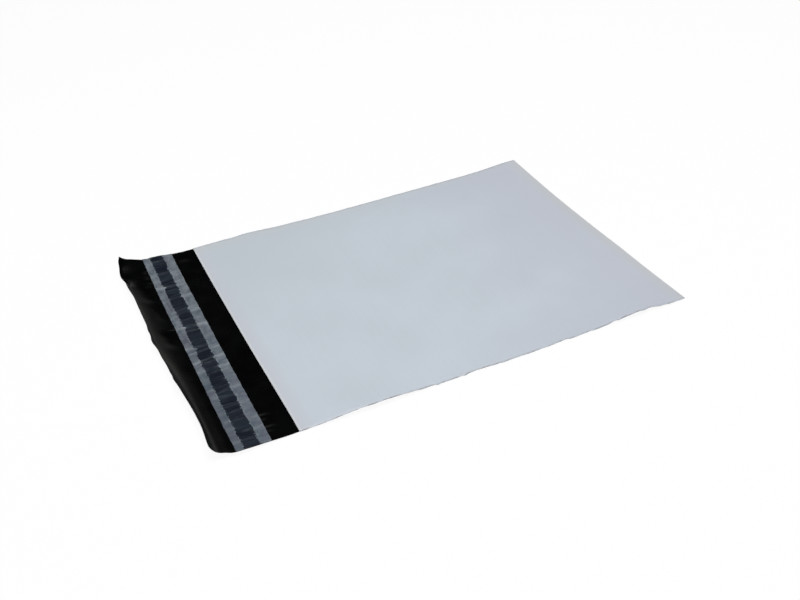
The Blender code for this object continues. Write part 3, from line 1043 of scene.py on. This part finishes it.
def wet_distance(along, across):
    """How far inside the stuck area a point of the liner lies, in millimetres, negative outside."""
    flap_spread = WET_SPREAD_FLAP + WET_SPREAD_NEAR * ramp(-across, WET_SPREAD_START, WET_SPREAD_END)
    flap_edge = -GLUE_START - GLUE_WIDTH - flap_spread + BLOCK_STEP * block_steps(across, FLAP_BLOCK_SEED)
    mouth_edge = -GLUE_START + WET_SPREAD_MOUTH + BLOCK_STEP * block_steps(across, MOUTH_BLOCK_SEED)
    for place, half_width, flap_notch, mouth_notch in WET_NOTCHES:
        one = swell(across, place / 1000, half_width / 1000)
        flap_edge = flap_edge + flap_notch / 1000 * one
        mouth_edge = mouth_edge - mouth_notch / 1000 * one
    return 1000 * np.minimum(along - flap_edge, mouth_edge - along)


def block_steps(across, seed):
    """A jagged line: between wrinkles it drifts, and at each wrinkle it jumps back."""
    rng = np.random.default_rng(seed)
    stops = np.sort(rng.uniform(-HALF_WIDTH, HALF_WIDTH, BLOCK_STOPS))
    starts, ends = rng.uniform(-1.0, 1.0, (2, len(stops) + 1))
    index = np.searchsorted(stops, across)
    low = np.concatenate([[-HALF_WIDTH], stops])[index]
    high = np.concatenate([stops, [HALF_WIDTH]])[index]
    part = (across - low) / np.maximum(high - low, 1e-6)
    return starts[index] * (1.0 - part) + BLOCK_END_SHARE * ends[index] * part


def make_liner():
    """The release liner, lying over the glue line and wrinkled across."""
    across = np.linspace(-HALF_WIDTH, HALF_WIDTH, LINER_COLUMNS)
    along = np.linspace(-LINER_START - LINER_TRIM, -CURL_START, LINER_ROWS)
    across, along = np.meshgrid(across, along, indexing="ij")
    from_glue = np.abs(-along - GLUE_CENTRE) - GLUE_WIDTH / 2
    over_glue = 1.0 - ramp(from_glue, 0.0, SHOULDER_WIDTH)
    height = SEAT_GAP + over_glue * (GLUE_THICKNESS + SEAT_GAP)
    height = height + LINER_WAVE_HEIGHT * liner_waves(along * LINER_WAVE_STRETCH, across)
    height = height + LINER_RIPPLE_HEIGHT * liner_ripples(along * LINER_RIPPLE_STRETCH, across)
    height = height + WRINKLE_HEIGHT * wrinkle_strength(along, across)
    from_middle = np.abs(-along - LINER_START - LINER_WIDTH / 2)
    to_edge = ramp(from_middle, LINER_WIDTH / 2 - LINER_EDGE_ZONE, LINER_WIDTH / 2)
    sideways = to_edge * LINER_EDGE_WANDER * liner_edge_waves(along, across)
    points = flap_points(along + sideways, edge_nicks(along, across), height)
    fields = {
        "web": web_vectors(along, across),
        "wet": wet_distance(along, across).ravel(),
        "raised": wrinkle_strength(along, across, RAISED_SPREAD).ravel(),
    }
    mesh = new_mesh("peel_liner", points, grid_faces(*across.shape), **fields)
    liner = add_piece("peel_liner", mesh, [liner_film()], "liner", "release_liner")
    add_thickness(liner, LINER_THICKNESS)


def make_glue():
    """The line of glue on the flap's inner face, under the liner."""
    across = np.linspace(-HALF_WIDTH + GLUE_END_INSET, HALF_WIDTH - GLUE_END_INSET, GLUE_COLUMNS)
    along = np.linspace(-GLUE_START, -GLUE_START - GLUE_WIDTH, GLUE_ROWS)
    across, along = np.meshgrid(across, along, indexing="ij")
    points = flap_points(along, across, SEAT_GAP)
    mesh = new_mesh("glue_bead", points, grid_faces(*across.shape), web=web_vectors(along, across))
    glue = add_piece("glue_bead", mesh, [glue_melt()], "glue", "glue_line")
    add_thickness(glue, GLUE_THICKNESS)


def make_floor():
    """A pale floor that looks white and still takes the bag's shadow."""
    mesh = bpy.data.meshes.new("floor")
    size = FLOOR_HALF_SIZE
    corners = [(-size, -size, 0), (size, -size, 0), (size, size, 0), (-size, size, 0)]
    mesh.from_pydata(corners, [], [(0, 1, 2, 3)])
    floor = bpy.data.objects.new("floor", mesh)
    floor.location.z = FLOOR_HEIGHT
    bpy.context.scene.collection.objects.link(floor)
    n = Nodes("floor")
    n.finish(FLOOR_COLOUR, FLOOR_ROUGHNESS, specular=0.0)
    rays = n.add("ShaderNodeLightPath").outputs
    mirrored = n.math("MAXIMUM", rays["Is Glossy Ray"], rays["Is Transmission Ray"])
    seen = n.math("MAXIMUM", rays["Is Camera Ray"], mirrored)
    white = n.add("ShaderNodeEmission", Color=(1.0, 1.0, 1.0, 1.0), Strength=1.0)
    blend = n.add("ShaderNodeMixShader")
    n.put(blend, "0", n.math("MULTIPLY", seen, FLOOR_WHITE_SHARE))
    n.tree.links.new(n.shader.outputs[0], blend.inputs[1])
    n.tree.links.new(white.outputs[0], blend.inputs[2])
    output = n.tree.nodes["Material Output"]
    n.tree.links.new(blend.outputs[0], output.inputs["Surface"])
    mesh.materials.append(n.material)


def make_light():
    """One large soft lamp overhead, and surroundings that are bright at the horizon."""
    area = bpy.data.lights.new("key", "AREA")
    area.shape = "DISK"
    area.size = KEY_SIZE
    area.energy = KEY_POWER
    lamp = bpy.data.objects.new("key", area)
    lamp.location = KEY_PLACE
    lamp.rotation_euler = (KEY_AIM - KEY_PLACE).to_track_quat("-Z", "Y").to_euler()
    bpy.context.scene.collection.objects.link(lamp)
    world = bpy.data.worlds.new("studio")
    bpy.context.scene.world = world
    world.use_nodes = True
    tree = world.node_tree
    direction = tree.nodes.new("ShaderNodeTexCoord")
    parts = tree.nodes.new("ShaderNodeSeparateXYZ")
    tree.links.new(direction.outputs["Generated"], parts.inputs[0])
    shades = tree.nodes.new("ShaderNodeValToRGB")
    tree.links.new(parts.outputs["Z"], shades.inputs[0])
    ramp_points = shades.color_ramp.elements
    while len(ramp_points) < len(SKY_SHADES):
        ramp_points.new(0.5)
    for point, (height, shade) in zip(ramp_points, SKY_SHADES):
        point.position = height
        point.color = (*shade, 1.0)
    background = tree.nodes["Background"]
    tree.links.new(shades.outputs[0], background.inputs["Color"])
    background.inputs["Strength"].default_value = 1.0


def make_camera():
    """The camera, over the near side of the flap and rolled a little."""
    data = bpy.data.cameras.new("camera")
    data.sensor_width = CAMERA_SENSOR
    data.lens = CAMERA_LENS
    camera = bpy.data.objects.new("camera", data)
    bpy.context.scene.collection.objects.link(camera)
    camera.location = CAMERA_PLACE
    towards = CAMERA_AIM - CAMERA_PLACE
    camera.rotation_mode = "QUATERNION"
    roll = Quaternion(towards.normalized(), CAMERA_ROLL)
    camera.rotation_quaternion = roll @ towards.to_track_quat("-Z", "Y")
    bpy.context.scene.camera = camera


make_camera()
make_bag()
make_seam("seam_near", -1.0)
make_seam("seam_far", 1.0)
make_liner()
make_glue()
make_floor()
make_light()
bpy.context.scene.view_settings.view_transform = "Standard"
